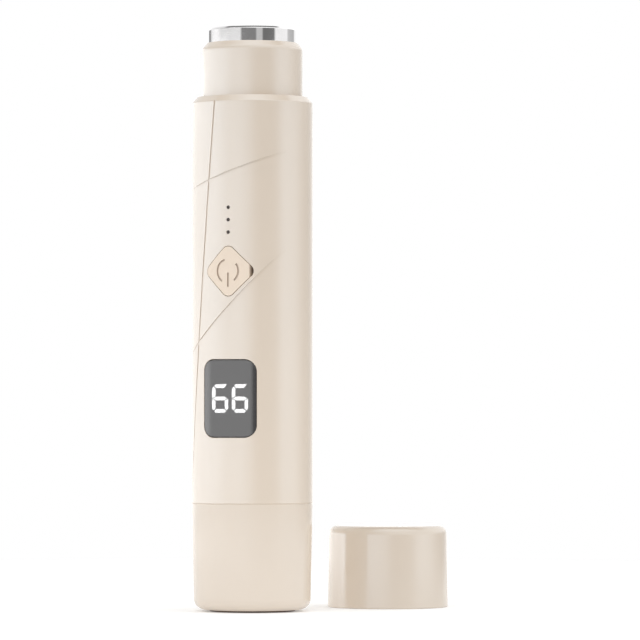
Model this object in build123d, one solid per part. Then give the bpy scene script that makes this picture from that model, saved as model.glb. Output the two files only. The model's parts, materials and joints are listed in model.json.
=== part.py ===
from build123d import *
import os
from math import cos, hypot, radians, sin, sqrt

# A handheld vacuum pore cleaner: a battery suction wand with a display, a pull-off chrome head and a cap.
# Millimetres, +Z up. The origin is the centre of the foot pad's lower face. The wand's axis is +Z and its
# front, with the button and the display, faces -Y. "Depth" below means distance from the axis towards -Y.

# Outer shape
BODY_R = 16.0
WALL = 1.7
BORE_R = BODY_R - WALL
SEAM_Z = 28.5
SHOULDER_Z = 134.1
LEDGE_R = 14.6
LEDGE_Z = 135.7
CEILING_Z = 133.9
NECK_R = 13.3
NECK_BORE_R = 11.6
NECK_SHOULDER_Z = 148.5
NECK_TOP = 150.1
HEAD_R = 11.45
HEAD_BEVEL_Z = 153.5
HEAD_LIP_R = 10.9
HEAD_TOP = 154.0
SLIP = 0.1
EDGE_BREAK = 0.15

# Lap joint between the housing and the base cup, inside the wall's thickness
LAP_R = 15.2
LAP_Z = 24.5

# Base cup and foot pad
BASE_BOTTOM_R = 15.4
BASE_BORE_R = 14.1
BASE_BOTTOM = 0.4
BASE_ROUND = 3.0
PAD_R = 11.4
PAD_TOP = 1.2
BASE_FLOOR_TOP = 2.6

# Front features. FRONT_X is the small offset of the button's column
FRONT_X = 0.2
DISPLAY_Z = 56.1
DISPLAY_W = 15.1
DISPLAY_H = 20.6
DISPLAY_CORNER = 3.2
LENS_DEPTH = 14.85
LENS_SKIN = 0.55
LENS_BACK = 12.6
BUTTON_Z = 89.4
BUTTON_HALF = 7.43
BUTTON_CORNER = 2.0
BUTTON_PROUD = 0.1
BUTTON_BACK = 12.6
BUTTON_FLAT_X = 5.6
BUTTON_GAP = 0.12
ICON_DEPTH = 0.35
INDICATOR_ZS = (99.6, 102.85, 106.1)
INDICATOR_HOLE_R = 0.5

# Styling grooves, cut by thin planes: (x, z) of a point at the front, the slope dz/dx, and the plane's tilt
GROOVES = {
    "rising": (0.0, 80.0, 1.0, 9.6),
    "shallow": (0.0, 115.35, 0.36, 3.0),
    "upright": (-3.8, 135.1, 11.05, 0.0),
}
GROOVE_W = 0.46
GROOVE_DEPTH = 0.25
GROOVE_END_X = 13.4

# Circuit board and what stands on it
PCB_FRONT = 9.3
PCB_BACK = 8.3
PCB_HALF_W = 9.6
PCB_Z = (36.0, 112.0)
PCB_SCREWS = [(x, z) for x in (-7.8, 7.8) for z in (39.0, 109.0)]
MODULE_FRONT = 14.1
MODULE_W = 12.4
MODULE_H = 17.6
DIGIT_W = 4.65
DIGIT_H = 7.5
DIGIT_PITCH = 5.7
DIGITS_X = -0.1
DIGIT_CORNER = 1.1
SEGMENT_T = 1.0
SEGMENT_GAP = 0.18
SEGMENT_DEPTH = 0.3

# Inner frame
FRAME_R = 14.1
FRAME_BORE_R = 12.9
FRAME_Z = (18.0, 131.6)
SPLIT_DEPTH = 6.2
PLATE_FRONT = 7.2
FRAME_SCREW_X = 10.2
FRAME_SCREW_ZS = (25.0, 78.0, 127.0)
FRAME_SCREW_LENGTHS = (2.6, 5.0, 5.0)
POST_X = 10.4
POST_Y = -1.5

# Battery
CELL_R = 7.0
CELL_Y = 4.5
CELL_Z = (21.5, 71.0)

# Motor and pump, on their own vertical axis behind the board
PUMP_Y = 3.4
PUMP_R = 9.3
CAN_R = 8.5
CAN_Z = (80.0, 103.6)
SHAFT_R = 0.75
PUMP_BASE_Z = (103.6, 116.4)
DIAPHRAGM_TOP = 117.4
VALVE_PLATE_TOP = 119.2
PUMP_HEAD_TOP = 124.0
CHAMBER_R = 7.4
CUP_RING_R = 4.6
CUP_ANGLES = (90, 210, 330)
INLET_RING_R = 4.9
OUTLET_RING_R = 3.15
PUMP_SCREW_R = 8.35
PUMP_SCREW_ANGLES = (30, 150, 270)
WOBBLE_TILT = 7.0
WOBBLE_PIVOT_Z = 114.6
HOSE_R = 2.4
HOSE_BORE_R = 1.5
NOZZLE_Y = -1.4
WIRE_R = 0.45

# Charging board and socket, at the back of the base cup
CHARGE_PCB_Z = (8.0, 9.0)
USB_Z = 10.6
USB_W = 8.94
USB_H = 3.16
USB_Y = (7.0, 14.5)

# Suction head
SOCKET_BORE_R = 6.2
TIP_BORE_R = 4.0
TIP_BORE_Z = (144.4, 149.9)

# Cap, standing beside the wand on its open end
CAP_X = 23.0
CAP_Y = 38.2
CAP_R = 16.2
CAP_TOP_R = 15.85
CAP_H = 21.9
CAP_ROUND = 2.3
CAP_BORE_R = 14.5
CAP_ROOF = 1.3
LINER_BORE_R = 13.45

BASE = (Align.CENTER, Align.CENTER, Align.MIN)


# --- helpers ---------------------------------------------------------------------------------------------


def disc(radius, z0, z1, x=0.0, y=0.0):
    """An upright cylinder from z0 to z1."""
    return Pos(x, y, z0) * Cylinder(radius, z1 - z0, align=BASE)


def ring(outer, inner, z0, z1, x=0.0, y=0.0):
    """An upright tube from z0 to z1."""
    return disc(outer, z0, z1, x, y) - disc(inner, z0, z1, x, y)


def block(xs, ys, zs):
    """A box between pairs of coordinates."""
    centre = Pos(sum(xs) / 2, sum(ys) / 2, sum(zs) / 2)
    return centre * Box(xs[1] - xs[0], ys[1] - ys[0], zs[1] - zs[0])


def turned(points, rounds=()):
    """The profile (radius, z) turned about Z. rounds lists (radius, z, fillet) for corners to round."""
    face = make_face(Polyline(*points, close=True))
    for r, z, size in rounds:
        corner = face.vertices().sort_by_distance((r, z, 0))[0]
        face = fillet(corner, size)
    return revolve(Plane.XZ * face, Axis.Z)


def front_prism(sketch, inner, outer, z):
    """A sketch in (x, z), pushed out of the front from one depth to another."""
    plane = Plane(origin=(0, -inner, z), x_dir=(1, 0, 0), z_dir=(0, -1, 0))
    return extrude(plane * sketch, outer - inner)


def rear_prism(sketch, inner, outer, z):
    """A sketch pushed out of the back, between two distances from the axis towards +Y."""
    plane = Plane(origin=(0, inner, z), x_dir=(-1, 0, 0), z_dir=(0, 1, 0))
    return extrude(plane * sketch, outer - inner)


def diamond(half, corner):
    """A square standing on its corner. half is its half diagonal before its corners are rounded."""
    side = half * sqrt(2)
    square = Rot(0, 0, 45) * Rectangle(side, side)
    return fillet(square.vertices(), corner)


def front_hole(radius, inner, outer, x, z):
    """A round peg or hole along Y, at (x, z) on the front."""
    return front_prism(Pos(x, 0, 0) * Circle(radius), inner, outer, z)


def screw(shank_r, head_r, head_h, length):
    """A screw along -Z with its head's underside at z = 0, and a cross recess in its head."""
    body = disc(shank_r, -length, 0) + disc(head_r, 0, head_h)
    arm = head_r * 0.55
    slot = block((-arm, arm), (-0.12, 0.12), (head_h * 0.4, head_h))
    return body - slot - Rot(0, 0, 90) * slot


def front_screw(shank_r, head_r, head_h, length, x, depth, z):
    """A screw whose head's underside lies at that depth, driven in from the front."""
    return Pos(x, -depth, z) * Rot(90, 0, 0) * screw(shank_r, head_r, head_h, length)


def around(shape, angles, radius, y=PUMP_Y):
    """Copies of a shape, moved out by radius and turned to each angle about the pump's axis."""
    return [Pos(0, y, 0) * Rot(0, 0, a) * Pos(radius, 0, 0) * shape for a in angles]


def tube_along(points, radii, outer, inner=0.0):
    """A tube of straight runs and tangent arcs through the points."""
    path = FilletPolyline(*points, radius=radii)
    section = Circle(outer) - Circle(inner) if inner else Circle(outer)
    start = Plane(origin=path @ 0, z_dir=path % 0)
    return sweep(start * section, path=path)


def save(name, *shapes):
    """Writes one node. Several shapes become one node of separate solids."""
    solids = [solid for shape in shapes for solid in shape.solids()]
    whole = solids[0] if len(solids) == 1 else Compound(children=solids)
    export_step(whole, f"parts/{name}.step")


# --- casings ---------------------------------------------------------------------------------------------


def groove_cutter(x, z, slope, tilt):
    """A thin slab along one line on the front, with a round core left in it.

    The core's surface lies GROOVE_DEPTH inside the housing at the front and meets it at GROOVE_END_X, so the
    groove is deepest in the middle and runs out at both sides.
    """
    deepest = BODY_R - GROOVE_DEPTH
    side = sqrt(BODY_R**2 - GROOVE_END_X**2)
    drop = deepest - side
    core_r = (GROOVE_END_X**2 + drop**2) / (2 * drop)
    reach = 220.0
    strip = trace(Polyline((-reach, -reach * slope), (reach, reach * slope)), GROOVE_W)
    lying = extrude(Plane.XZ * strip, BODY_R, both=True)
    slab = Pos(x, -BODY_R, z) * Rot(tilt, 0, 0) * lying
    keep = block((-GROOVE_END_X - 1, GROOVE_END_X + 1), (-BODY_R - 2, 0), (SEAM_Z + 1, SHOULDER_Z + 0.2))
    core = disc(core_r, SEAM_Z, LEDGE_Z, 0.0, core_r - deepest)
    return (slab & keep) - core


def outer_rim(shape, z0, z1):
    """The edges where a front opening between two heights meets the outer cylinder."""
    found = []
    for edge in shape.edges():
        spots = [edge @ t for t in (0.0, 0.5, 1.0)]
        if all(abs(hypot(p.X, p.Y) - BODY_R) < 0.01 and p.Y < -5 and z0 < p.Z < z1 for p in spots):
            found.append(edge)
    return found


def main_housing():
    shell = turned(
        [
            (BORE_R, LAP_Z),
            (LAP_R - 0.1, LAP_Z),
            (LAP_R - 0.1, SEAM_Z),
            (BODY_R - EDGE_BREAK, SEAM_Z),
            (BODY_R, SEAM_Z + EDGE_BREAK),
            (BODY_R, SHOULDER_Z),
            (LEDGE_R, LEDGE_Z),
            (NECK_R + SLIP, LEDGE_Z),
            (NECK_R + SLIP, CEILING_Z),
            (BORE_R, CEILING_Z),
        ],
        [(BODY_R, SHOULDER_Z, 0.3), (LEDGE_R, LEDGE_Z, 0.2)],
    )
    window = RectangleRounded(DISPLAY_W, DISPLAY_H, DISPLAY_CORNER)
    shell -= front_prism(window, 8.0, BODY_R + 2, DISPLAY_Z)
    opening = Pos(FRONT_X, 0) * diamond(BUTTON_HALF, BUTTON_CORNER)
    shell -= front_prism(opening, 8.0, BODY_R + 2, BUTTON_Z)
    shell = chamfer(outer_rim(shell, DISPLAY_Z - 11, BUTTON_Z + 8), 0.08)
    for z in INDICATOR_ZS:
        shell -= front_hole(INDICATOR_HOLE_R, 8.0, BODY_R + 2, FRONT_X, z)
    for groove in GROOVES.values():
        shell -= groove_cutter(*groove)
    return shell


def base_cup():
    shell = turned(
        [
            (0, PAD_TOP),
            (PAD_R + 0.1, PAD_TOP),
            (PAD_R + 0.1, BASE_BOTTOM),
            (BASE_BOTTOM_R, BASE_BOTTOM),
            (BODY_R, SEAM_Z - EDGE_BREAK),
            (BODY_R - EDGE_BREAK, SEAM_Z),
            (LAP_R, SEAM_Z),
            (LAP_R, LAP_Z - 0.1),
            (BASE_BORE_R, LAP_Z - 0.1),
            (BASE_BORE_R, BASE_FLOOR_TOP),
            (0, BASE_FLOOR_TOP),
        ],
        [(BASE_BOTTOM_R, BASE_BOTTOM, BASE_ROUND), (BASE_BORE_R, BASE_FLOOR_TOP, 1.5)],
    )
    for side in (-1, 1):
        shell += disc(2.2, BASE_FLOOR_TOP, FRAME_Z[0], side * POST_X, POST_Y)
        shell += disc(1.8, BASE_FLOOR_TOP, CHARGE_PCB_Z[0], side * 5.5, -4.0)
        shell += disc(1.5, BASE_FLOOR_TOP, CHARGE_PCB_Z[0], side * 5.5, 8.0)
        shell -= disc(1.0, PAD_TOP, FRAME_Z[0], side * POST_X, POST_Y)
        shell -= disc(1.9, PAD_TOP, 3.4, side * POST_X, POST_Y)
        shell -= disc(0.6, 4.0, CHARGE_PCB_Z[0], side * 5.5, -4.0)
    shell -= rear_prism(SlotOverall(USB_W + 0.6, USB_H + 0.6), 12.0, BODY_R + 2, USB_Z)
    for z in (17.2, 19.7, 22.2):
        shell -= rear_prism(SlotOverall(9.0, 1.1), 12.0, BODY_R + 2, z)
    return shell


def foot_pad():
    pad = disc(PAD_R, 0, PAD_TOP)
    return fillet(pad.edges().sort_by(Axis.Z)[0], 0.3)


def neck_shell():
    return turned(
        [
            (NECK_BORE_R, 131.8),
            (FRAME_R, 131.8),
            (FRAME_R, CEILING_Z - 0.1),
            (NECK_R - 0.3, CEILING_Z - 0.1),
            (NECK_R - 0.3, LEDGE_Z),
            (NECK_R, LEDGE_Z),
            (NECK_R, NECK_SHOULDER_Z),
            (11.95, NECK_TOP),
            (NECK_BORE_R, NECK_TOP),
            (NECK_BORE_R, 138.3),
            (10.5, 138.3),
            (10.5, 136.8),
            (NECK_BORE_R, 136.8),
        ],
        [(NECK_R, NECK_SHOULDER_Z, 1.4), (11.95, NECK_TOP, 0.3)],
    )


# --- display ---------------------------------------------------------------------------------------------


def segment_shapes(x, z):
    """The lit segments of a seven-segment 6, as closed outlines. (x, z) is the digit's lower left corner.

    The digit's outer corners are cut off, and the segments meet there on the diagonals.
    """
    t, w, h, cut, gap = SEGMENT_T, DIGIT_W, DIGIT_H, DIGIT_CORNER, SEGMENT_GAP
    mid = h / 2
    near = (cut - gap) / 2
    far = (cut + gap) / 2
    bottom = [(cut, 0), (far, near), (t + gap, t), (w - t - gap, t), (w - far, near), (w - cut, 0)]
    top = [(cut, h), (far, h - near), (t + gap, h - t), (w - t - gap, h - t), (w - 0.35, h)]
    lower_left = [(0, cut), (near, far), (t, t + gap), (t, mid - t / 2 - gap / 2), (0, mid - gap / 2)]
    upper_left = [(px, h - pz) for px, pz in lower_left]
    lower_right = [(w - px, pz) for px, pz in lower_left]
    tip = 0.25 * t
    bar = [(tip, mid), (t + gap, mid + t / 2), (w - t - gap, mid + t / 2), (w - tip, mid)]
    bar += [(w - t - gap, mid - t / 2), (t + gap, mid - t / 2)]
    outlines = (bottom, top, lower_left, upper_left, lower_right, bar)
    return [make_face(Polyline(*[(x + px, z + pz) for px, pz in o], close=True)) for o in outlines]


def lit_segments():
    left = DIGITS_X - (DIGIT_PITCH + DIGIT_W) / 2
    faces = segment_shapes(left, -DIGIT_H / 2) + segment_shapes(left + DIGIT_PITCH, -DIGIT_H / 2)
    return [front_prism(face, MODULE_FRONT - SEGMENT_DEPTH, MODULE_FRONT, DISPLAY_Z) for face in faces]


def display_module(segments):
    body = front_prism(Rectangle(MODULE_W, MODULE_H), PCB_FRONT, MODULE_FRONT, DISPLAY_Z)
    for segment in segments:
        body -= segment
    return body


def display_lens():
    """A cup-shaped cover, flat in front and bent softly back to the housing's curve at its sides.

    Its flange reaches behind the housing's wall, and its pocket takes the display module.
    """
    half_w = DISPLAY_W / 2 - 0.1
    half_h = DISPLAY_H / 2 - 0.1
    corner = DISPLAY_CORNER - 0.1
    section = Pos(0, -(LENS_BACK + LENS_DEPTH) / 2) * Rectangle(2 * LENS_DEPTH, LENS_DEPTH - LENS_BACK)
    section &= Circle(BODY_R - 0.05)
    section = fillet(section.vertices().sort_by(Axis.Y)[:2], 4.0)
    bar = Pos(0, 0, DISPLAY_Z) * extrude(section, half_h, both=True)
    lens = bar & front_prism(RectangleRounded(2 * half_w, 2 * half_h, corner), LENS_BACK, BODY_R, DISPLAY_Z)
    rim = []
    for edge in lens.edges():
        spot = edge @ 0.5
        beyond = abs(spot.X) - half_w + corner, abs(spot.Z - DISPLAY_Z) - half_h + corner
        reach = hypot(*beyond) if min(beyond) > 0 else max(beyond)
        if abs(reach - corner) < 0.01 and spot.Y < -13.9:
            rim.append(edge)
    lens = fillet(rim, 0.2)
    lens += front_prism(Rectangle(10.0, 23.2), LENS_BACK, 13.3, DISPLAY_Z)
    return lens - front_prism(Rectangle(MODULE_W, MODULE_H), LENS_BACK, LENS_DEPTH - LENS_SKIN, DISPLAY_Z)


def light_pipe():
    middle = sum(INDICATOR_ZS) / len(INDICATOR_ZS)
    body = front_prism(Pos(FRONT_X, 0) * Rectangle(2.4, 9.2), 10.2, 11.0, middle)
    for z in INDICATOR_ZS:
        body += front_hole(INDICATOR_HOLE_R - 0.05, 11.0, BODY_R - 0.15, FRONT_X, z)
    return body


def indicator_leds():
    chip = Pos(FRONT_X, 0) * Rectangle(1.6, 0.8)
    return [front_prism(chip, PCB_FRONT, 9.95, z) for z in INDICATOR_ZS]


# --- button ----------------------------------------------------------------------------------------------


def power_icon():
    """Two arcs, the right one a little closer in, and a bar between their lower ends."""
    radius, width = 3.1, 0.52
    left = CenterArc((0, 0), radius, 108, 128)
    right = CenterArc((-0.3, 0), radius, -50, 88)
    bar = Pos(0, -2.25) * SlotOverall(3.8, width, rotation=90)
    return trace(left, width) + trace(right, width) + bar


def power_button():
    """The pressed part, flush with the housing's curve. Its right corner is cut off straight.

    Two tabs behind the housing's wall keep it in, and a post works the switch.
    """
    crown_r = BODY_R + BUTTON_PROUD
    outline = diamond(BUTTON_HALF - BUTTON_GAP * sqrt(2), BUTTON_CORNER - BUTTON_GAP)
    outline -= Pos(BUTTON_FLAT_X + 5, 0) * Rectangle(10, 30)
    cap = front_prism(outline, BUTTON_BACK, BODY_R + 1, 0.0) & disc(crown_r, -15, 15, -FRONT_X)
    cap = fillet(cap.faces().sort_by(Axis.Y)[0].edges(), 0.12)
    mark = front_prism(power_icon(), BUTTON_BACK, BODY_R + 1, 0.0)
    cap -= mark - disc(crown_r - ICON_DEPTH, -15, 15, -FRONT_X)
    for side in (-1, 1):
        cap += front_prism(Rectangle(2.4, 3.0), BUTTON_BACK, BORE_R - 0.1, side * 6.9)
    return Pos(FRONT_X, 0, BUTTON_Z) * (cap + front_hole(1.3, 11.5, BUTTON_BACK, 0.0, 0.0))


def button_seal():
    """A silicone boot that stands on the board round the switch and closes the button's opening."""
    outside = diamond(8.0, 2.0)
    skirt = front_prism(outside - diamond(6.9, 1.2), PCB_FRONT, 11.6, 0.0)
    top = front_prism(outside - Circle(1.6), 11.6, 12.1, 0.0)
    return Pos(FRONT_X, 0, BUTTON_Z) * (skirt + top)


def tact_switch():
    body = front_prism(Rectangle(6.0, 6.0), PCB_FRONT, 10.9, 0.0) - front_hole(1.35, 9.7, 12.0, 0.0, 0.0)
    return Pos(FRONT_X, 0, BUTTON_Z) * body


def tact_plunger():
    return front_hole(1.25, 10.15, 11.5, FRONT_X, BUTTON_Z)


# --- boards and wiring -----------------------------------------------------------------------------------


def main_pcb():
    middle = sum(PCB_Z) / 2
    outline = RectangleRounded(2 * PCB_HALF_W, PCB_Z[1] - PCB_Z[0], 1.5)
    board = front_prism(outline, PCB_BACK, PCB_FRONT, middle)
    for x, z in PCB_SCREWS:
        board -= front_hole(0.9, 8.0, 10.0, x, z)
    return board


def pcb_components():
    """Small parts on the board's front, between display and button: (x, z, width, height, thickness)."""
    places = [(-6.5, 74.0, 3.2, 3.2, 1.6), (6.6, 74.5, 2.0, 1.3, 1.0), (6.6, 71.5, 2.0, 1.3, 0.8)]
    places += [(-6.4, 69.5, 2.0, 1.3, 0.8), (6.8, 104.0, 1.6, 0.9, 0.6), (-6.8, 101.0, 1.6, 0.9, 0.6)]
    parts = []
    for x, z, w, h, t in places:
        parts.append(front_prism(Pos(x, 0) * Rectangle(w, h), PCB_FRONT, PCB_FRONT + t, z))
    return parts


def controller_chip():
    body = front_prism(Rectangle(4.4, 5.0), PCB_FRONT + 0.1, PCB_FRONT + 1.3, 74.0)
    for side in (-1, 1):
        for k in range(4):
            z = 74.0 + (k - 1.5) * 1.27
            body += front_prism(Pos(side * 2.7, 0) * Rectangle(1.2, 0.45), PCB_FRONT, PCB_FRONT + 0.5, z)
    return body


def charge_pcb():
    board = block((-8.0, 8.0), (-6.0, 13.4), CHARGE_PCB_Z) & disc(13.6, *CHARGE_PCB_Z)
    for side in (-1, 1):
        board -= disc(0.8, *CHARGE_PCB_Z, side * 5.5, -4.0)
    return board


def usb_shell():
    outer = rear_prism(SlotOverall(USB_W, USB_H), *USB_Y, USB_Z)
    inner = rear_prism(SlotOverall(USB_W - 0.6, USB_H - 0.6), USB_Y[0] + 0.4, USB_Y[1] + 1, USB_Z)
    return outer - inner


def usb_tongue():
    block_part = rear_prism(SlotOverall(USB_W - 0.6, USB_H - 0.6), USB_Y[0] + 0.4, 8.6, USB_Z)
    return block_part + rear_prism(Rectangle(6.7, 0.7), 8.6, USB_Y[1] - 0.8, USB_Z)


def motor_leads():
    leads = []
    for x in (-4.5, 4.5):
        points = [(x, PUMP_Y, 77.4), (x, PUMP_Y, 75.9), (x, -PCB_BACK, 75.9)]
        leads.append(tube_along(points, 1.2, WIRE_R))
    return leads


def battery_leads():
    upper = [(0, CELL_Y, 72.2), (0, CELL_Y, 76.4), (0, -PCB_BACK, 76.4)]
    return [tube_along(upper, 2.4, WIRE_R), disc(WIRE_R, CHARGE_PCB_Z[1], CELL_Z[0] - 0.2, 0, CELL_Y)]


def link_cable():
    cables = []
    for x in (-1.5, 1.5):
        points = [(x, -4.0, 9.0), (x, -4.0, 13.0), (x, -7.75, 18.0), (x, -7.75, 39.0)]
        cables.append(tube_along(points, 3.0, WIRE_R))
    return cables


# --- frame and fasteners ---------------------------------------------------------------------------------


def rear_frame():
    z0, z1 = FRAME_Z
    behind = block((-20, 20), (-SPLIT_DEPTH, 20), (z0, z1))
    frame = ring(FRAME_R, FRAME_BORE_R, z0, z1) & behind
    for z in (34.0, 50.0, 62.0, 112.0):
        frame -= block((-7.0, 7.0), (4.0, 20.0), (z, z + 8.0))
    ribs = [(18.0, 2.0, 3.0, CELL_Y), (44.0, 1.4, CELL_R + 0.1, CELL_Y), (59.5, 1.4, CELL_R + 0.1, CELL_Y)]
    ribs += [(73.2, 1.2, 3.0, CELL_Y), (78.6, 1.2, 6.5, PUMP_Y)]
    ribs += [(86.0, 1.4, PUMP_R, PUMP_Y), (96.0, 1.4, PUMP_R, PUMP_Y)]
    ribs += [(107.0, 1.4, PUMP_R + 0.05, PUMP_Y), (121.0, 1.4, PUMP_R + 0.05, PUMP_Y)]
    for z, thick, hole_r, hole_y in ribs:
        rib = disc(FRAME_BORE_R + 0.2, z, z + thick) & behind
        frame += rib - disc(hole_r, z, z + thick, 0, hole_y)
    for side in (-1, 1):
        xs = sorted((side * 8.7, side * 12.2))
        for z in FRAME_SCREW_ZS:
            frame += block(xs, (-SPLIT_DEPTH, -1.0), (z - 2, z + 2))
        frame += disc(2.1, z0, 26.0, side * POST_X, POST_Y) & behind
        frame -= disc(0.8, z0, 24.6, side * POST_X, POST_Y)
    for side in (-1, 1):
        for z in FRAME_SCREW_ZS:
            depth = 4.4 if z == FRAME_SCREW_ZS[0] else 1.8
            frame -= front_hole(0.7, depth, SPLIT_DEPTH, side * FRAME_SCREW_X, z)
    return frame


def front_frame():
    plate = block((-12.0, 12.0), (-PLATE_FRONT, -SPLIT_DEPTH), (22.0, FRAME_Z[1]))
    for x, z in PCB_SCREWS:
        plate += front_hole(1.6, PLATE_FRONT, PCB_BACK, x, z)
        plate -= front_hole(0.6, SPLIT_DEPTH, PCB_BACK, x, z)
    for side in (-1, 1):
        for z in FRAME_SCREW_ZS:
            plate -= front_hole(0.9, 6.0, 7.5, side * FRAME_SCREW_X, z)
        plate -= front_hole(0.9, 6.0, 7.5, side * 4.5, 75.9)
    plate -= front_hole(0.9, 6.0, 7.5, 0.0, 76.4)
    for z, height in ((52.0, 20.0), (92.0, 12.0), (119.0, 9.0)):
        plate -= front_prism(RectangleRounded(11.0, height, 1.5), 6.0, 7.5, z)
    return plate


def frame_screws():
    return [
        front_screw(0.7, 1.25, 0.8, length, side * FRAME_SCREW_X, PLATE_FRONT, z)
        for side in (-1, 1)
        for z, length in zip(FRAME_SCREW_ZS, FRAME_SCREW_LENGTHS)
    ]


def board_screws():
    """Four hold the main board to the front frame, and two hold the charging board to the base cup."""
    main = [front_screw(0.6, 1.4, 0.8, 2.6, x, PCB_FRONT, z) for x, z in PCB_SCREWS]
    return main + [Pos(side * 5.5, -4.0, CHARGE_PCB_Z[1]) * screw(0.6, 1.4, 0.8, 4.4) for side in (-1, 1)]


def base_screws():
    driven_up = Rot(180, 0, 0) * screw(0.8, 1.7, 1.4, 21.2)
    return [Pos(side * POST_X, POST_Y, 3.4) * driven_up for side in (-1, 1)]


# --- battery ---------------------------------------------------------------------------------------------


def battery_cell():
    cell = disc(CELL_R, *CELL_Z, 0, CELL_Y)
    return fillet(cell.edges(), 0.6) + disc(2.6, CELL_Z[1], CELL_Z[1] + 1.0, 0, CELL_Y)


def battery_tabs():
    ys = (CELL_Y - 2.4, CELL_Y + 2.4)
    lower = block((-1.6, 1.6), ys, (CELL_Z[0] - 0.2, CELL_Z[0]))
    upper = block((-1.6, 1.6), ys, (CELL_Z[1] + 1.0, CELL_Z[1] + 1.2))
    return [lower, upper]


def battery_pad():
    return ring(6.4, 3.4, 20.0, CELL_Z[0], 0, CELL_Y)


# --- motor -----------------------------------------------------------------------------------------------


def motor_can():
    z0, z1 = CAN_Z
    can = disc(CAN_R, z0, z1) - disc(CAN_R - 0.8, z0, z1 - 0.8) - disc(1.5, z0, z1)
    for side in (-1, 1):
        can -= disc(0.7, z1 - 0.8, z1, side * 5.8, 0)
    return Pos(0, PUMP_Y, 0) * can


def motor_end_cap():
    z0 = CAN_Z[0]
    cap = disc(CAN_R - 0.85, z0, z0 + 2.4) - disc(1.5, z0, z0 + 2.4)
    for side in (-1, 1):
        cap -= block(sorted((side * 4.1, side * 4.9)), (-0.8, 0.8), (z0, z0 + 2.4))
    return Pos(0, PUMP_Y, 0) * cap


def motor_terminals():
    tabs = []
    for side in (-1, 1):
        xs = sorted((side * 4.1, side * 4.9))
        tabs.append(Pos(0, PUMP_Y, 0) * block(xs, (-0.8, 0.8), (77.4, 82.4)))
    return tabs


def motor_brushes():
    """Carbon brushes beside the commutator, each on a leaf that stands on its terminal."""
    brushes = []
    for side in (-1, 1):
        leaf = block(sorted((side * 4.2, side * 4.5)), (-0.7, 0.7), (82.4, 85.4))
        carbon = block(sorted((side * 2.12, side * 4.2)), (-0.6, 0.6), (84.0, 85.4))
        brushes.append(Pos(0, PUMP_Y, 0) * (leaf + carbon))
    return brushes


def motor_magnets():
    arcs = ring(CAN_R - 0.85, 6.3, 87.0, 99.5, 0, PUMP_Y)
    gap = block((-2.2, 2.2), (-20, 20), (80, 110))
    return arcs - gap


def motor_bushes():
    bore = SHAFT_R + 0.03
    lower = ring(1.5, bore, CAN_Z[0] + 0.2, CAN_Z[0] + 2.2, 0, PUMP_Y)
    upper = ring(1.5, bore, CAN_Z[1] - 1.4, CAN_Z[1] + 0.6, 0, PUMP_Y)
    return [lower, upper]


def motor_shaft():
    return disc(SHAFT_R, 79.2, 107.5, 0, PUMP_Y)


def armature_core():
    """Three poles with curved shoes, as a small direct-current motor has."""
    z0, z1 = 88.0, 98.5
    core = disc(2.0, z0, z1)
    shoes = ring(5.9, 5.0, z0, z1)
    for angle in CUP_ANGLES:
        core += Rot(0, 0, angle) * block((0, 5.3), (-0.9, 0.9), (z0, z1))
        shoes -= Rot(0, 0, angle + 60) * block((4.0, 7.0), (-0.9, 0.9), (z0, z1))
    return Pos(0, PUMP_Y, 0) * (core + shoes - disc(SHAFT_R, z0, z1))


def armature_windings():
    coil = block((2.3, 4.5), (-2.0, 2.0), (86.9, 99.6)) - block((2.0, 5.0), (-0.9, 0.9), (88.0, 98.5))
    outside = Rot(0, 0, 60) * block((-10, 10), (-0.1, 0.1), (80, 110))
    coil = coil - outside - Rot(0, 0, -120) * outside
    return [s for shape in around(coil, CUP_ANGLES, 0.0) for s in shape.solids().sort_by(SortBy.VOLUME)[-1:]]


def commutator():
    body = ring(2.0, SHAFT_R, 83.4, 86.0, 0, PUMP_Y)
    for angle in CUP_ANGLES:
        slit = Rot(0, 0, angle) * block((1.6, 2.2), (-0.12, 0.12), (83.4, 86.0))
        body -= Pos(0, PUMP_Y, 0) * slit
    return body


# --- pump ------------------------------------------------------------------------------------------------


def on_wobble_axis(shape):
    """Places a shape made about the pivot onto the tilted axis. Its +Z then points along that axis."""
    return Pos(0, PUMP_Y, WOBBLE_PIVOT_Z) * Rot(0, WOBBLE_TILT, 0) * shape


def drive_pin():
    return on_wobble_axis(disc(0.6, -6.8, -1.4))


def eccentric():
    hub = disc(4.2, 104.9, 110.0) - disc(SHAFT_R, 104.9, 107.5)
    hub -= block((2.0, 5.0), (-5, 5), (106.0, 110.0))
    return Pos(0, PUMP_Y, 0) * hub - on_wobble_axis(disc(0.65, -6.9, 0))


def wobble_plate():
    plate = disc(1.9, -4.0, -0.3)
    for angle in CUP_ANGLES:
        arm = block((0, CUP_RING_R), (-1.2, 1.2), (-1.6, -0.5)) + disc(1.7, -1.6, -0.5, CUP_RING_R, 0)
        plate += Rot(0, 0, angle) * (arm - disc(0.65, -1.6, -0.5, CUP_RING_R, 0))
    return on_wobble_axis(plate - disc(0.6, -4.0, -1.4))


def diaphragm():
    """One rubber moulding: a disc with three pumping cups, each with a stem and bead for the wobble plate.

    The cups hang as far as the tilted plate pulls them, and the stems stand square to it.
    """
    rubber = Pos(0, PUMP_Y, 0) * disc(8.9, PUMP_BASE_Z[1], DIAPHRAGM_TOP)
    for angle in CUP_ANGLES:
        turn = Rot(0, 0, angle) * Pos(CUP_RING_R, 0, 0)
        sag = -CUP_RING_R * cos(radians(angle)) * sin(radians(WOBBLE_TILT))
        rubber += Pos(0, PUMP_Y, 0) * turn * disc(2.3, 115.3 + sag, PUMP_BASE_Z[1])
        rubber += on_wobble_axis(turn * (disc(0.55, -2.4, 1.2) + disc(0.95, -2.3, -1.65)))
        rubber -= Pos(0, PUMP_Y, 0) * turn * disc(1.8, 115.9 + sag, DIAPHRAGM_TOP)
    for hole in screw_holes(110.0, 120.0, 0.6):
        rubber -= hole
    return rubber


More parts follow.
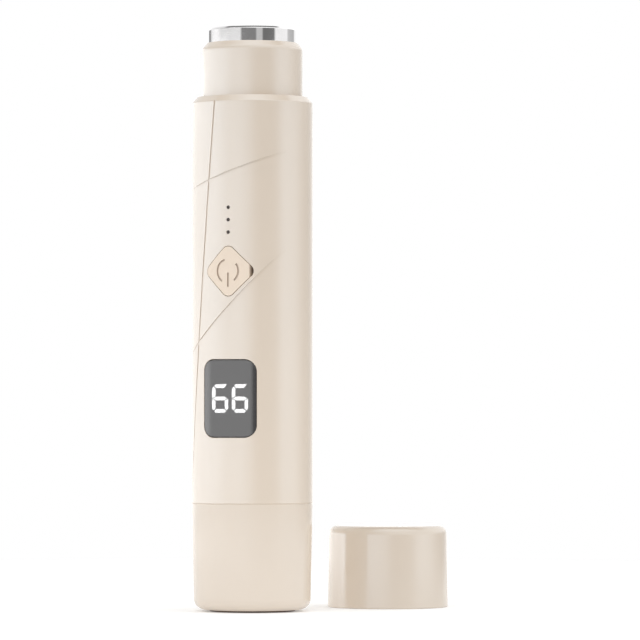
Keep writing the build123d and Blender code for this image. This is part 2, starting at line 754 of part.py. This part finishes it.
def screw_holes(z0, z1, radius):
    return around(disc(radius, z0, z1), PUMP_SCREW_ANGLES, PUMP_SCREW_R)


def pump_base():
    z0, z1 = PUMP_BASE_Z
    body = disc(PUMP_R, z0, z1) - disc(CHAMBER_R, z0 + 1.0, z1) - disc(2.6, z0, z1)
    for side in (-1, 1):
        body -= disc(0.85, z0, z1, side * 5.8, 0)
    body = Pos(0, PUMP_Y, 0) * body
    for hole in screw_holes(106.5, z1, 0.5):
        body -= hole
    return body


def motor_screws():
    return [Pos(side * 5.8, PUMP_Y, 104.6) * screw(0.7, 1.25, 0.6, 2.4) for side in (-1, 1)]


def valve_plate():
    """Above each cup an umbrella valve covers two inlet ports. A central one covers the outlet ports."""
    z0, z1 = DIAPHRAGM_TOP, VALVE_PLATE_TOP
    plate = Pos(0, PUMP_Y, 0) * disc(PUMP_R, z0, z1) - disc(0.4, z0, z1, 0, PUMP_Y)
    holes = screw_holes(z0, z1, 0.6)
    holes += around(disc(0.4, z0, z1), CUP_ANGLES, INLET_RING_R)
    holes += around(disc(0.3, z0, z1, 0, 0.75), CUP_ANGLES, INLET_RING_R)
    holes += around(disc(0.3, z0, z1, 0, -0.75), CUP_ANGLES, INLET_RING_R)
    holes += around(disc(0.25, z0, z1), CUP_ANGLES, OUTLET_RING_R)
    for hole in holes:
        plate -= hole
    return plate


def pump_valves():
    """Three inlet umbrellas under the valve plate, and one outlet umbrella on top of it."""
    z0, z1 = DIAPHRAGM_TOP, VALVE_PLATE_TOP
    inlet = disc(1.25, z0 - 0.45, z0 - 0.02) + disc(0.4, z0 - 0.02, z1)
    outlet = disc(3.5, z1 + 0.02, z1 + 0.4) + disc(0.4, z0, z1 + 0.02)
    return around(inlet, CUP_ANGLES, INLET_RING_R) + [Pos(0, PUMP_Y, 0) * outlet]


def pump_head():
    """A lid with a ring wall: suction comes down the nozzle outside the wall and blows out inside it."""
    z0, z1 = VALVE_PLATE_TOP, PUMP_HEAD_TOP
    body = disc(PUMP_R, z0, z1) - ring(7.0, 4.3, z0, z1 - 1.4) - disc(3.7, z0, z1 - 1.4) - disc(0.8, z0, z1)
    body = Pos(0, PUMP_Y, 0) * body + disc(HOSE_BORE_R, z1, 126.9, 0, NOZZLE_Y)
    body -= disc(0.8, z1 - 1.4, 126.9, 0, NOZZLE_Y)
    for hole in screw_holes(z0, z1, 0.6):
        body -= hole
    return body


def pump_screws():
    length = PUMP_HEAD_TOP - 106.5
    return around(Pos(0, 0, PUMP_HEAD_TOP) * screw(0.5, 1.0, 0.8, length), PUMP_SCREW_ANGLES, PUMP_SCREW_R)


def pump_damper():
    return ring(PUMP_R - 0.02, CAN_R, 83.0, 101.0, 0, PUMP_Y)


def suction_hose():
    points = [(0, NOZZLE_Y, 124.1), (0, NOZZLE_Y, 128.0), (0, 0, 132.4), (0, 0, 136.9)]
    return tube_along(points, 5.0, HOSE_R, HOSE_BORE_R)


# --- suction head ----------------------------------------------------------------------------------------


def filter_socket():
    return turned(
        [
            (0.8, 133.4),
            (HOSE_BORE_R, 133.4),
            (HOSE_BORE_R, 137.0),
            (7.6, 137.0),
            (7.6, 138.4),
            (NECK_BORE_R - 0.1, 138.4),
            (NECK_BORE_R - 0.1, 139.9),
            (7.6, 139.9),
            (7.6, 147.5),
            (SOCKET_BORE_R, 147.5),
            (SOCKET_BORE_R, 138.2),
            (0.8, 138.2),
        ]
    )


def filter_sponge():
    return disc(6.0, 138.3, 141.2)


def head_core():
    return turned(
        [
            (2.2, 141.5),
            (6.0, 141.5),
            (6.0, 143.3),
            (4.8, 143.3),
            (4.8, 144.9),
            (6.0, 144.9),
            (6.0, 147.6),
            (10.1, 147.6),
            (10.1, 151.2),
            (7.5, 151.2),
            (4.9, TIP_BORE_Z[1]),
            (TIP_BORE_R, TIP_BORE_Z[1]),
            (TIP_BORE_R, TIP_BORE_Z[0]),
            (2.2, TIP_BORE_Z[0]),
        ],
        [(7.5, 151.2, 0.6)],
    )


def chrome_ring():
    return turned(
        [
            (10.15, 147.4),
            (HEAD_R, 147.4),
            (HEAD_R, HEAD_BEVEL_Z),
            (HEAD_LIP_R, HEAD_TOP),
            (9.4, HEAD_TOP),
            (9.4, 151.9),
            (10.15, 151.9),
        ],
        [(HEAD_R, HEAD_BEVEL_Z, 0.25), (HEAD_LIP_R, HEAD_TOP, 0.3), (9.4, HEAD_TOP, 0.3)],
    )


def contact_cushion():
    return turned(
        [(7.7, 151.2), (10.05, 151.2), (10.05, 151.85), (9.3, 151.85), (9.3, 153.5), (7.7, 153.5)],
        [(9.3, 153.5, 0.5), (7.7, 153.5, 0.9)],
    )


def head_o_ring():
    return Pos(0, 0, 144.1) * Torus(5.45, 0.65)


# --- cap -------------------------------------------------------------------------------------------------


def cap_shell():
    """The rim's inner bevel has the slope of the wand's shoulder and rests on it when the cap is on."""
    rim_r = CAP_R - 0.3
    bevel_h = (rim_r - CAP_BORE_R) * (LEDGE_Z - SHOULDER_Z) / (BODY_R - LEDGE_R)
    shell = turned(
        [
            (CAP_R - 0.2, 0),
            (CAP_R, 0.2),
            (CAP_TOP_R, CAP_H),
            (0, CAP_H),
            (0, CAP_H - CAP_ROOF),
            (CAP_BORE_R, CAP_H - CAP_ROOF),
            (CAP_BORE_R, bevel_h),
            (rim_r, 0),
        ],
        [(CAP_TOP_R, CAP_H, CAP_ROUND), (CAP_BORE_R, CAP_H - CAP_ROOF, 1.0)],
    )
    return Pos(CAP_X, CAP_Y, 0) * shell


def cap_liner():
    sleeve = ring(CAP_BORE_R - 0.05, LINER_BORE_R, 2.2, 17.4)
    rib = disc(0.35, 3.0, 17.4) & block((-1, 0.1), (-1, 1), (0, 20))
    for k in range(6):
        sleeve += Rot(0, 0, 60 * k) * Pos(LINER_BORE_R + 0.22, 0, 0) * rib
    return Pos(CAP_X, CAP_Y, 0) * sleeve


# --- nodes -----------------------------------------------------------------------------------------------


def main():
    os.makedirs("parts", exist_ok=True)
    segments = lit_segments()
    nodes = {
        "main_housing": [main_housing()],
        "base_cup": [base_cup()],
        "foot_pad": [foot_pad()],
        "neck_shell": [neck_shell()],
        "display_lens": [display_lens()],
        "display_module": [display_module(segments)],
        "display_segments_lit": segments,
        "indicator_light_pipe": [light_pipe()],
        "indicator_leds": indicator_leds(),
        "power_button": [power_button()],
        "tact_plunger": [tact_plunger()],
        "button_seal": [button_seal()],
        "tact_switch_body": [tact_switch()],
        "main_pcb": [main_pcb()],
        "pcb_components": pcb_components(),
        "controller_chip": [controller_chip()],
        "charge_pcb": [charge_pcb()],
        "usb_socket_shell": [usb_shell()],
        "usb_socket_tongue": [usb_tongue()],
        "motor_leads": motor_leads(),
        "battery_leads": battery_leads(),
        "link_cable": link_cable(),
        "rear_frame": [rear_frame()],
        "front_frame": [front_frame()],
        "frame_screws": frame_screws(),
        "board_screws": board_screws(),
        "base_screws": base_screws(),
        "battery_cell": [battery_cell()],
        "battery_tabs": battery_tabs(),
        "battery_pad": [battery_pad()],
        "motor_can": [motor_can()],
        "motor_end_cap": [motor_end_cap()],
        "motor_terminals": motor_terminals(),
        "motor_brushes": motor_brushes(),
        "motor_magnets": [motor_magnets()],
        "motor_bushes": motor_bushes(),
        "motor_shaft": [motor_shaft()],
        "armature_core": [armature_core()],
        "armature_windings": armature_windings(),
        "commutator": [commutator()],
        "drive_pin": [drive_pin()],
        "eccentric_hub": [eccentric()],
        "wobble_plate": [wobble_plate()],
        "pump_diaphragm": [diaphragm()],
        "pump_base": [pump_base()],
        "motor_screws": motor_screws(),
        "valve_plate": [valve_plate()],
        "pump_valves": pump_valves(),
        "pump_head": [pump_head()],
        "pump_screws": pump_screws(),
        "pump_damper": [pump_damper()],
        "suction_hose": [suction_hose()],
        "filter_socket": [filter_socket()],
        "filter_sponge": [filter_sponge()],
        "head_core": [head_core()],
        "chrome_ring": [chrome_ring()],
        "contact_cushion": [contact_cushion()],
        "head_o_ring": [head_o_ring()],
        "cap_shell": [cap_shell()],
        "cap_liner": [cap_liner()],
    }
    for name, shapes in nodes.items():
        save(name, *shapes)


main()
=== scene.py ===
import json
from math import cos, pi, radians, sin

import bpy
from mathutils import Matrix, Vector


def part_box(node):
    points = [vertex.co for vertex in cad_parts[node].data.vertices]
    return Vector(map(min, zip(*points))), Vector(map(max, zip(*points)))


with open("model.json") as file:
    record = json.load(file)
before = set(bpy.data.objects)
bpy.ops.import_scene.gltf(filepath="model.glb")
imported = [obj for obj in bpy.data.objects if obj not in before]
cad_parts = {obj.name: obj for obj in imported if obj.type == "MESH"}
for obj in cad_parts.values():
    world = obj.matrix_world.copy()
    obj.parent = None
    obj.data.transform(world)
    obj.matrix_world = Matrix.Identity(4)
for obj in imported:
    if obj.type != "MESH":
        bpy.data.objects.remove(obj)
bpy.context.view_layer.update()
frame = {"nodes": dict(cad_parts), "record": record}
record = frame["record"]
nodes = frame["nodes"]
scene = bpy.context.scene

MM = 0.001
WHITE = (1.0, 1.0, 1.0, 1.0)

# Camera: almost level with the display, a little to the right of the wand's front, through a very long lens
VIEW_TURN = radians(23.2)
VIEW_DISTANCE = 1.243
VIEW_ASIDE = 0.0179
VIEW_HEIGHT = 0.0557
VIEW_TILT = radians(0.975)
LENS_MM = 264.4

FLOOR_R = 0.4
FLOOR_CORNERS = 96
FLOOR_DROP = 0.05 * MM
FLOOR_GLOW = 0.2

# The button's engraved mark, tan with painted shade in its groove: depths under the crown where the painted
# shade starts and where it is solid, and the distance from the button's middle where it fades out, over the
# width of MARK_EDGE
GROOVE_SHADE_TOP = 0.05 * MM
GROOVE_SHADE_SOLID = 0.25 * MM
MARK_R = 4.6 * MM
MARK_EDGE = 0.2 * MM

# Mouldings: noise scales per metre, and the depth of the fine texture in metres. The foam and the glossy
# cream have values of their own.
DRIFT_SCALE = 90.0
GLOSS_SCALE = 420.0
GRAIN_SCALE = 2600.0
GRAIN_DEPTH = 6e-6

# The beam for the dark side of the cap
BEAM_WATTS = 0.0027
BEAM_TURN = radians(-10)
BEAM_DISTANCE = 120 * MM
BEAM_RISE = 12 * MM
BEAM_SIZE = 60 * MM
BEAM_SPREAD = radians(26)


# --- node helpers ----------------------------------------------------------------------------------------


class Shader:
    """A material's node tree, with short calls for the nodes used here."""

    def __init__(self, name):
        self.material = bpy.data.materials.new(name)
        self.material.use_nodes = True
        self.tree = self.material.node_tree
        self.surface = self.tree.nodes["Principled BSDF"]
        self.place = self.node("ShaderNodeTexCoord").outputs["Object"]

    def node(self, kind, **settings):
        made = self.tree.nodes.new(kind)
        for key, value in settings.items():
            setattr(made, key, value)
        return made

    def link(self, source, target):
        self.tree.links.new(source, target)

    def stretched(self, x, y, z):
        """Object coordinates scaled per axis, for streaks."""
        mapping = self.node("ShaderNodeMapping")
        mapping.inputs["Scale"].default_value = (x, y, z)
        self.link(self.place, mapping.inputs["Vector"])
        return mapping.outputs["Vector"]

    def noise(self, scale, detail, vector=None):
        made = self.node("ShaderNodeTexNoise")
        made.inputs["Scale"].default_value = scale
        made.inputs["Detail"].default_value = detail
        self.link(vector or self.place, made.inputs["Vector"])
        return made.outputs["Fac"]

    def spread(self, value, low, high, from_low=0.3, from_high=0.7):
        """A value remapped to low..high, by default from the 0.3..0.7 that a noise mostly covers."""
        made = self.node("ShaderNodeMapRange")
        made.inputs["From Min"].default_value = from_low
        made.inputs["From Max"].default_value = from_high
        made.inputs["To Min"].default_value = low
        made.inputs["To Max"].default_value = high
        self.link(value, made.inputs["Value"])
        return made.outputs["Result"]

    def blend(self, factor, first, second):
        """A colour between two, by a factor."""
        made = self.node("ShaderNodeMix", data_type="RGBA")
        self.link(factor, made.inputs["Factor"])
        for socket, value in ((made.inputs["A"], first), (made.inputs["B"], second)):
            if isinstance(value, tuple):
                socket.default_value = (*value, 1.0)
            else:
                self.link(value, socket)
        return made.outputs["Result"]

    def distance(self, first, second, origin):
        """Distance in a plane from a point, for two coordinates."""
        flat = self.node("ShaderNodeCombineXYZ")
        self.link(first, flat.inputs["X"])
        self.link(second, flat.inputs["Y"])
        made = self.node("ShaderNodeVectorMath", operation="DISTANCE")
        self.link(flat.outputs["Vector"], made.inputs[0])
        made.inputs[1].default_value = (*origin, 0.0)
        return made.outputs["Value"]

    def mottled(self, scale, detail, first, second):
        """A colour that drifts between two."""
        return self.blend(self.spread(self.noise(scale, detail), 0.0, 1.0), first, second)

    def coat(self, color, gloss, low, high):
        """The surface's colour, and its roughness from low to high by a noise."""
        self.link(color, self.surface.inputs["Base Color"])
        self.link(self.spread(gloss, low, high), self.surface.inputs["Roughness"])

    def mould(self, color, rough, grain=GRAIN_SCALE, grain_depth=GRAIN_DEPTH):
        """A moulded surface: its colour, uneven gloss and a fine texture."""
        self.coat(color, self.noise(GLOSS_SCALE, 3.0), rough * 0.9, rough * 1.1)
        self.bump(self.noise(grain, 2.0), grain_depth)

    def bump(self, height, depth_m):
        made = self.node("ShaderNodeBump")
        made.inputs["Distance"].default_value = depth_m
        self.link(height, made.inputs["Height"])
        self.link(made.outputs["Normal"], self.surface.inputs["Normal"])

    def set(self, **values):
        """Constants on the surface's own sockets."""
        for key, value in values.items():
            self.surface.inputs[key.replace("_", " ")].default_value = value


def darker(color, by):
    return tuple(c * by for c in color)


def moulded(name, color, rough, variation=0.97, grain=GRAIN_SCALE, grain_depth=GRAIN_DEPTH, **constants):
    """Moulded plastic or rubber, its colour drifting faintly to a darker one."""
    shader = Shader(name)
    shader.mould(shader.mottled(DRIFT_SCALE, 4.0, darker(color, variation), color), rough, grain, grain_depth)
    shader.set(**constants)
    return shader.material


def metal(name, color, rough, streak=(1.0, 1.0, 30.0), streak_depth=3e-6):
    """Metal with fine drawn or turned lines, and slight patches in its colour."""
    shader = Shader(name)
    lines = shader.noise(900.0, 2.0, shader.stretched(*streak))
    shader.coat(shader.mottled(260.0, 3.0, darker(color, 0.92), color), lines, rough * 0.8, rough * 1.2)
    shader.bump(lines, streak_depth)
    shader.set(Metallic=1.0)
    return shader.material


def glossy_cream(name, color, rough, tint):
    """The casing's plastic, with an almost smooth, strongly mirroring surface."""
    return moulded(name, color, rough, 0.985, grain_depth=8e-7, IOR=1.8, Specular_Tint=(*tint, 1.0))


def lens_material():
    """Smoked acrylic that lets the lit digits through."""
    shader = Shader("lens_smoke")
    film = shader.noise(60.0, 2.0)
    tone = shader.blend(shader.spread(film, 0.0, 1.0), (0.020, 0.019, 0.020), (0.026, 0.024, 0.025))
    shader.coat(tone, film, 0.05, 0.08)
    shader.set(Alpha=0.85, IOR=1.83)
    return shader.material


def button_material():
    """Peach plastic, with tan painted shade where its engraved mark lies deeper than the crown."""
    shader = Shader("button_peach")
    low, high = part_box("power_button")
    middle = (low + high) / 2
    crown_r = -low.y
    place = shader.node("ShaderNodeSeparateXYZ")
    shader.link(shader.place, place.inputs[0])
    from_axis = shader.distance(place.outputs["X"], place.outputs["Y"], (0.0, 0.0))
    off_centre = shader.distance(place.outputs["X"], place.outputs["Z"], (middle.x, middle.z))
    engraved = shader.spread(from_axis, 1.0, 0.0, crown_r - GROOVE_SHADE_SOLID, crown_r - GROOVE_SHADE_TOP)
    central = shader.spread(off_centre, 1.0, 0.0, MARK_R, MARK_R + MARK_EDGE)
    # Painted shade: tan in the engraved mark's groove, below the crown and near the button's middle
    groove_shade = shader.node("ShaderNodeMath", operation="MULTIPLY")
    shader.link(engraved, groove_shade.inputs[0])
    shader.link(central, groove_shade.inputs[1])
    plastic = shader.mottled(DRIFT_SCALE, 4.0, (0.776, 0.660, 0.543), (0.80, 0.68, 0.56))
    shader.mould(shader.blend(groove_shade.outputs[0], plastic, (0.55, 0.45, 0.365)), 0.4)
    return shader.material


def lit_material():
    """The display's segments, bright enough to show white through the smoked lens."""
    shader = Shader("lit_white")
    tone = shader.mottled(300.0, 1.0, (0.97, 0.98, 1.0), (1.0, 1.0, 1.0))
    shader.link(tone, shader.surface.inputs["Base Color"])
    shader.set(Roughness=0.5, Emission_Color=WHITE, Emission_Strength=40.0)
    return shader.material


# Plain mouldings: colour and roughness
MOULDED = {
    "display_black": ((0.012, 0.012, 0.013), 0.6),
    "smoked_plastic": ((0.035, 0.022, 0.016), 0.25),
    "led_resin": ((0.85, 0.78, 0.45), 0.2),
    "brown_silicone": ((0.11, 0.06, 0.04), 0.6),
    "clear_silicone": ((0.72, 0.71, 0.67), 0.45),
    "black_rubber": ((0.018, 0.018, 0.018), 0.6),
    "hose_silicone": ((0.60, 0.58, 0.53), 0.4),
    "board_green": ((0.012, 0.11, 0.045), 0.35),
    "chip_black": ((0.02, 0.02, 0.02), 0.5),
    "switch_plunger": ((0.45, 0.06, 0.05), 0.5),
    "carbon": ((0.03, 0.03, 0.03), 0.6),
    "ferrite": ((0.07, 0.07, 0.07), 0.55),
    "white_acetal": ((0.80, 0.79, 0.75), 0.4),
    "pump_grey": ((0.22, 0.23, 0.24), 0.45),
    "frame_grey": ((0.35, 0.35, 0.34), 0.5),
    "liner_white": ((0.78, 0.74, 0.69), 0.4),
    "cell_wrap": ((0.02, 0.13, 0.26), 0.3),
    "wire_insulation": ((0.35, 0.02, 0.015), 0.4),
}

# Metals with drawn lines: colour and roughness
METALS = {
    "steel": ((0.55, 0.55, 0.55), 0.3),
    "nickel": ((0.66, 0.62, 0.55), 0.28),
    "copper": ((0.78, 0.33, 0.17), 0.3),
    "bronze": ((0.62, 0.42, 0.18), 0.35),
}

# The finish of each of the record's material slots
MATERIALS = {
    **{name: moulded(name, *finish) for name, finish in MOULDED.items()},
    **{name: metal(name, *finish) for name, finish in METALS.items()},
    "chrome_plate": metal("chrome_plate", (0.88, 0.87, 0.87), 0.02, (1.0, 1.0, 1.0), 5e-8),
    "filter_foam": moulded("filter_foam", (0.72, 0.70, 0.65), 0.9, 0.75, 1500.0, 2e-4),
    "shell_cream": glossy_cream("shell_cream", (0.72, 0.62, 0.515), 0.14, (0.7, 0.85, 1.0)),
    "button_peach": button_material(),
    "lens_smoke": lens_material(),
    "lit_white": lit_material(),
}

# Nodes with a finish of their own, apart from their slot's
OWN_FINISH = {
    # The seal's brown in the gap at the button's corner is partly its silicone colour and partly painted
    # shade of the gap
    "button_seal": moulded("seal_gap_shade", (0.24, 0.15, 0.11), 0.55),
    "cap_shell": glossy_cream("cap_cream", (0.65, 0.56, 0.465), 0.16, (0.75, 0.88, 1.0)),
}


def dress_cad_nodes():
    for part in record["subparts"]:
        name = part["node"]
        nodes[name].material_slots[0].material = OWN_FINISH.get(name) or MATERIALS[part["material_slot"]]


# --- stage, light and camera -----------------------------------------------------------------------------


def add_floor():
    """A round white table top."""
    turns = [2 * pi * k / FLOOR_CORNERS for k in range(FLOOR_CORNERS)]
    corners = [(FLOOR_R * cos(turn), FLOOR_R * sin(turn), 0.0) for turn in turns]
    mesh = bpy.data.meshes.new("floor")
    mesh.from_pydata(corners, [], [tuple(range(FLOOR_CORNERS))])
    floor = bpy.data.objects.new("floor", mesh)
    scene.collection.objects.link(floor)
    floor.location.z = -FLOOR_DROP
    shader = Shader("floor_white")
    shader.set(Base_Color=(0.86, 0.86, 0.86, 1.0), Roughness=0.9, Specular_IOR_Level=0.1)
    shader.set(Emission_Color=WHITE, Emission_Strength=FLOOR_GLOW)
    mesh.materials.append(shader.material)


# Brightness round the studio: (degrees from the camera's side, positive to its right; level).
# The upright walls mirror the low belt, and the neck and the chrome head mirror narrow belts of their own.
LOW_BELT = [
    (-180, 1.2),
    (-138, 1.95),
    (-94, 2.9),
    (-72, 2.9),
    (-46, 2.1),
    (-22, 2.15),
    (-6, 1.45),
    (8, 0.45),
    (18, 0.2),
    (40, 0.3),
    (50, 0.75),
    (60, 1.6),
    (70, 1.75),
    (80, 1.6),
    (90, 1.4),
    (100, 0.9),
    (114, 0.4),
    (135, 0.35),
    (155, 1.0),
    (180, 1.5),
]
NECK_BELT = [
    (-180, 1.4),
    (-138, 3.8),
    (-109, 6.0),
    (-70, 5.6),
    (-46, 2.9),
    (-22, 1.9),
    (-6, 1.1),
    (8, 0.35),
    (18, 0.2),
    (40, 0.25),
    (50, 0.7),
    (60, 1.6),
    (77, 2.1),
    (96, 1.7),
    (110, 1.2),
    (120, 1.0),
    (135, 0.8),
    (180, 1.4),
]
HEAD_BELT = [
    (-180, 0.2),
    (-150, 0.3),
    (-138, 0.95),
    (-120, 1.1),
    (-107, 1.1),
    (-92, 0.85),
    (-32, 0.85),
    (-27, 0.25),
    (9, 0.25),
    (13, 0.62),
    (26, 0.62),
    (30, 0.18),
    (60, 0.19),
    (66, 1.0),
    (106, 1.0),
    (112, 0.6),
    (144, 0.5),
    (152, 1.0),
    (180, 1.0),
]
HIGH_BELT = [(-180, 1.1), (-130, 0.8), (-80, 0.6), (-30, 0.8), (0, 1.1), (60, 1.15), (120, 1.4), (180, 1.1)]
TOP_BELT = [(-180, 0.2), (-115, 0.2), (-70, 1.9), (70, 1.9), (115, 0.2), (180, 0.2)]

# The belts from the ground up: (elevation in degrees where it takes over, degrees of softness, belt)
BELTS = [
    (-2.8, 0.8, LOW_BELT),
    (3.66, 0.03, NECK_BELT),
    (4.25, 0.03, HEAD_BELT),
    (4.85, 0.1, LOW_BELT),
    (7.5, 4.0, HIGH_BELT),
    (48.0, 6.0, TOP_BELT),
]

# Brightness below the lowest belt
GROUND_LEVEL = 0.3


def add_studio():
    """A world of broad soft panels, plain white behind the object as the camera sees it."""
    world = bpy.data.worlds.new("studio")
    scene.world = world
    world.use_nodes = True
    tree = world.node_tree
    tree.nodes.clear()

    def node(kind, *inputs, **settings):
        made = tree.nodes.new(kind)
        for key, value in settings.items():
            setattr(made, key, value)
        for socket, value in zip(made.inputs, inputs):
            if isinstance(value, (int, float)):
                socket.default_value = value
            elif value is not None:
                tree.links.new(value, socket)
        return made

    def belt(angle, levels):
        """The belt's brightness at an angle given as 0..1 round the circle."""
        ramp = node("ShaderNodeValToRGB", angle)
        stops = ramp.color_ramp.elements
        while len(stops) < len(levels):
            stops.new(0.5)
        brightest = max(level for _, level in levels)
        for stop, (degrees, level) in zip(stops, levels):
            stop.position = (degrees + 180) / 360
            stop.color = (level / brightest,) * 3 + (1.0,)
        return node("ShaderNodeMath", ramp.outputs["Color"], brightest, operation="MULTIPLY").outputs[0]

    def over(height, low, high, elevation, softness):
        """One brightness below an elevation, and another above it."""
        bounds = (sin(radians(elevation)), sin(radians(elevation + softness)), 0.0, 1.0)
        step = node("ShaderNodeMapRange", height, *bounds)
        return node("ShaderNodeMix", step.outputs[0], None, low, high).outputs[0]

    parts = node("ShaderNodeSeparateXYZ", node("ShaderNodeTexCoord").outputs["Generated"])
    ahead = node("ShaderNodeMath", parts.outputs["Y"], -1.0, operation="MULTIPLY")
    turn = node("ShaderNodeMath", parts.outputs["X"], ahead.outputs[0], operation="ARCTAN2")
    shift = node("ShaderNodeMath", turn.outputs[0], VIEW_TURN, operation="SUBTRACT")
    wrapped = node("ShaderNodeMath", shift.outputs[0], pi, -pi, operation="WRAP")
    angle = node("ShaderNodeMapRange", wrapped.outputs[0], -pi, pi, 0.0, 1.0).outputs[0]
    level = GROUND_LEVEL
    for elevation, softness, levels in BELTS:
        level = over(parts.outputs["Z"], level, belt(angle, levels), elevation, softness)
    panels = node("ShaderNodeBackground", None, level)
    plain = node("ShaderNodeBackground")
    for background in (panels, plain):
        background.inputs["Color"].default_value = WHITE
    is_camera = node("ShaderNodeLightPath").outputs["Is Camera Ray"]
    chosen = node("ShaderNodeMixShader", is_camera, panels.outputs[0], plain.outputs[0])
    node("ShaderNodeOutputWorld", chosen.outputs[0])


def add_cap_beam():
    """A narrow beam past the wand's back, for the side of the cap that the wand keeps dark."""
    low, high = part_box("cap_shell")
    middle = (low + high) / 2
    turn = VIEW_TURN + BEAM_TURN
    panel = bpy.data.objects.new("side_panel", bpy.data.lights.new("side_panel", "AREA"))
    scene.collection.objects.link(panel)
    panel.data.shape = "DISK"
    panel.data.size = BEAM_SIZE
    panel.data.spread = BEAM_SPREAD
    panel.data.energy = BEAM_WATTS
    panel.visible_camera = False
    panel.visible_glossy = False
    panel.location = middle + Vector((-BEAM_DISTANCE * cos(turn), -BEAM_DISTANCE * sin(turn), BEAM_RISE))
    panel.rotation_euler = (middle - panel.location).to_track_quat("-Z", "Y").to_euler()


def add_camera():
    camera = bpy.data.objects.new("camera", bpy.data.cameras.new("camera"))
    scene.collection.objects.link(camera)
    camera.data.lens = LENS_MM
    camera.data.sensor_width = 36.0
    camera.data.clip_start = 0.05
    camera.data.clip_end = 50.0
    forward = Vector((-sin(VIEW_TURN), cos(VIEW_TURN), 0.0))
    right = Vector((cos(VIEW_TURN), sin(VIEW_TURN), 0.0))
    camera.location = right * VIEW_ASIDE - forward * VIEW_DISTANCE + Vector((0, 0, VIEW_HEIGHT))
    camera.rotation_euler = (pi / 2 + VIEW_TILT, 0.0, VIEW_TURN)
    scene.camera = camera


scene.view_settings.view_transform = "Standard"
dress_cad_nodes()
add_floor()
add_studio()
add_cap_beam()
add_camera()
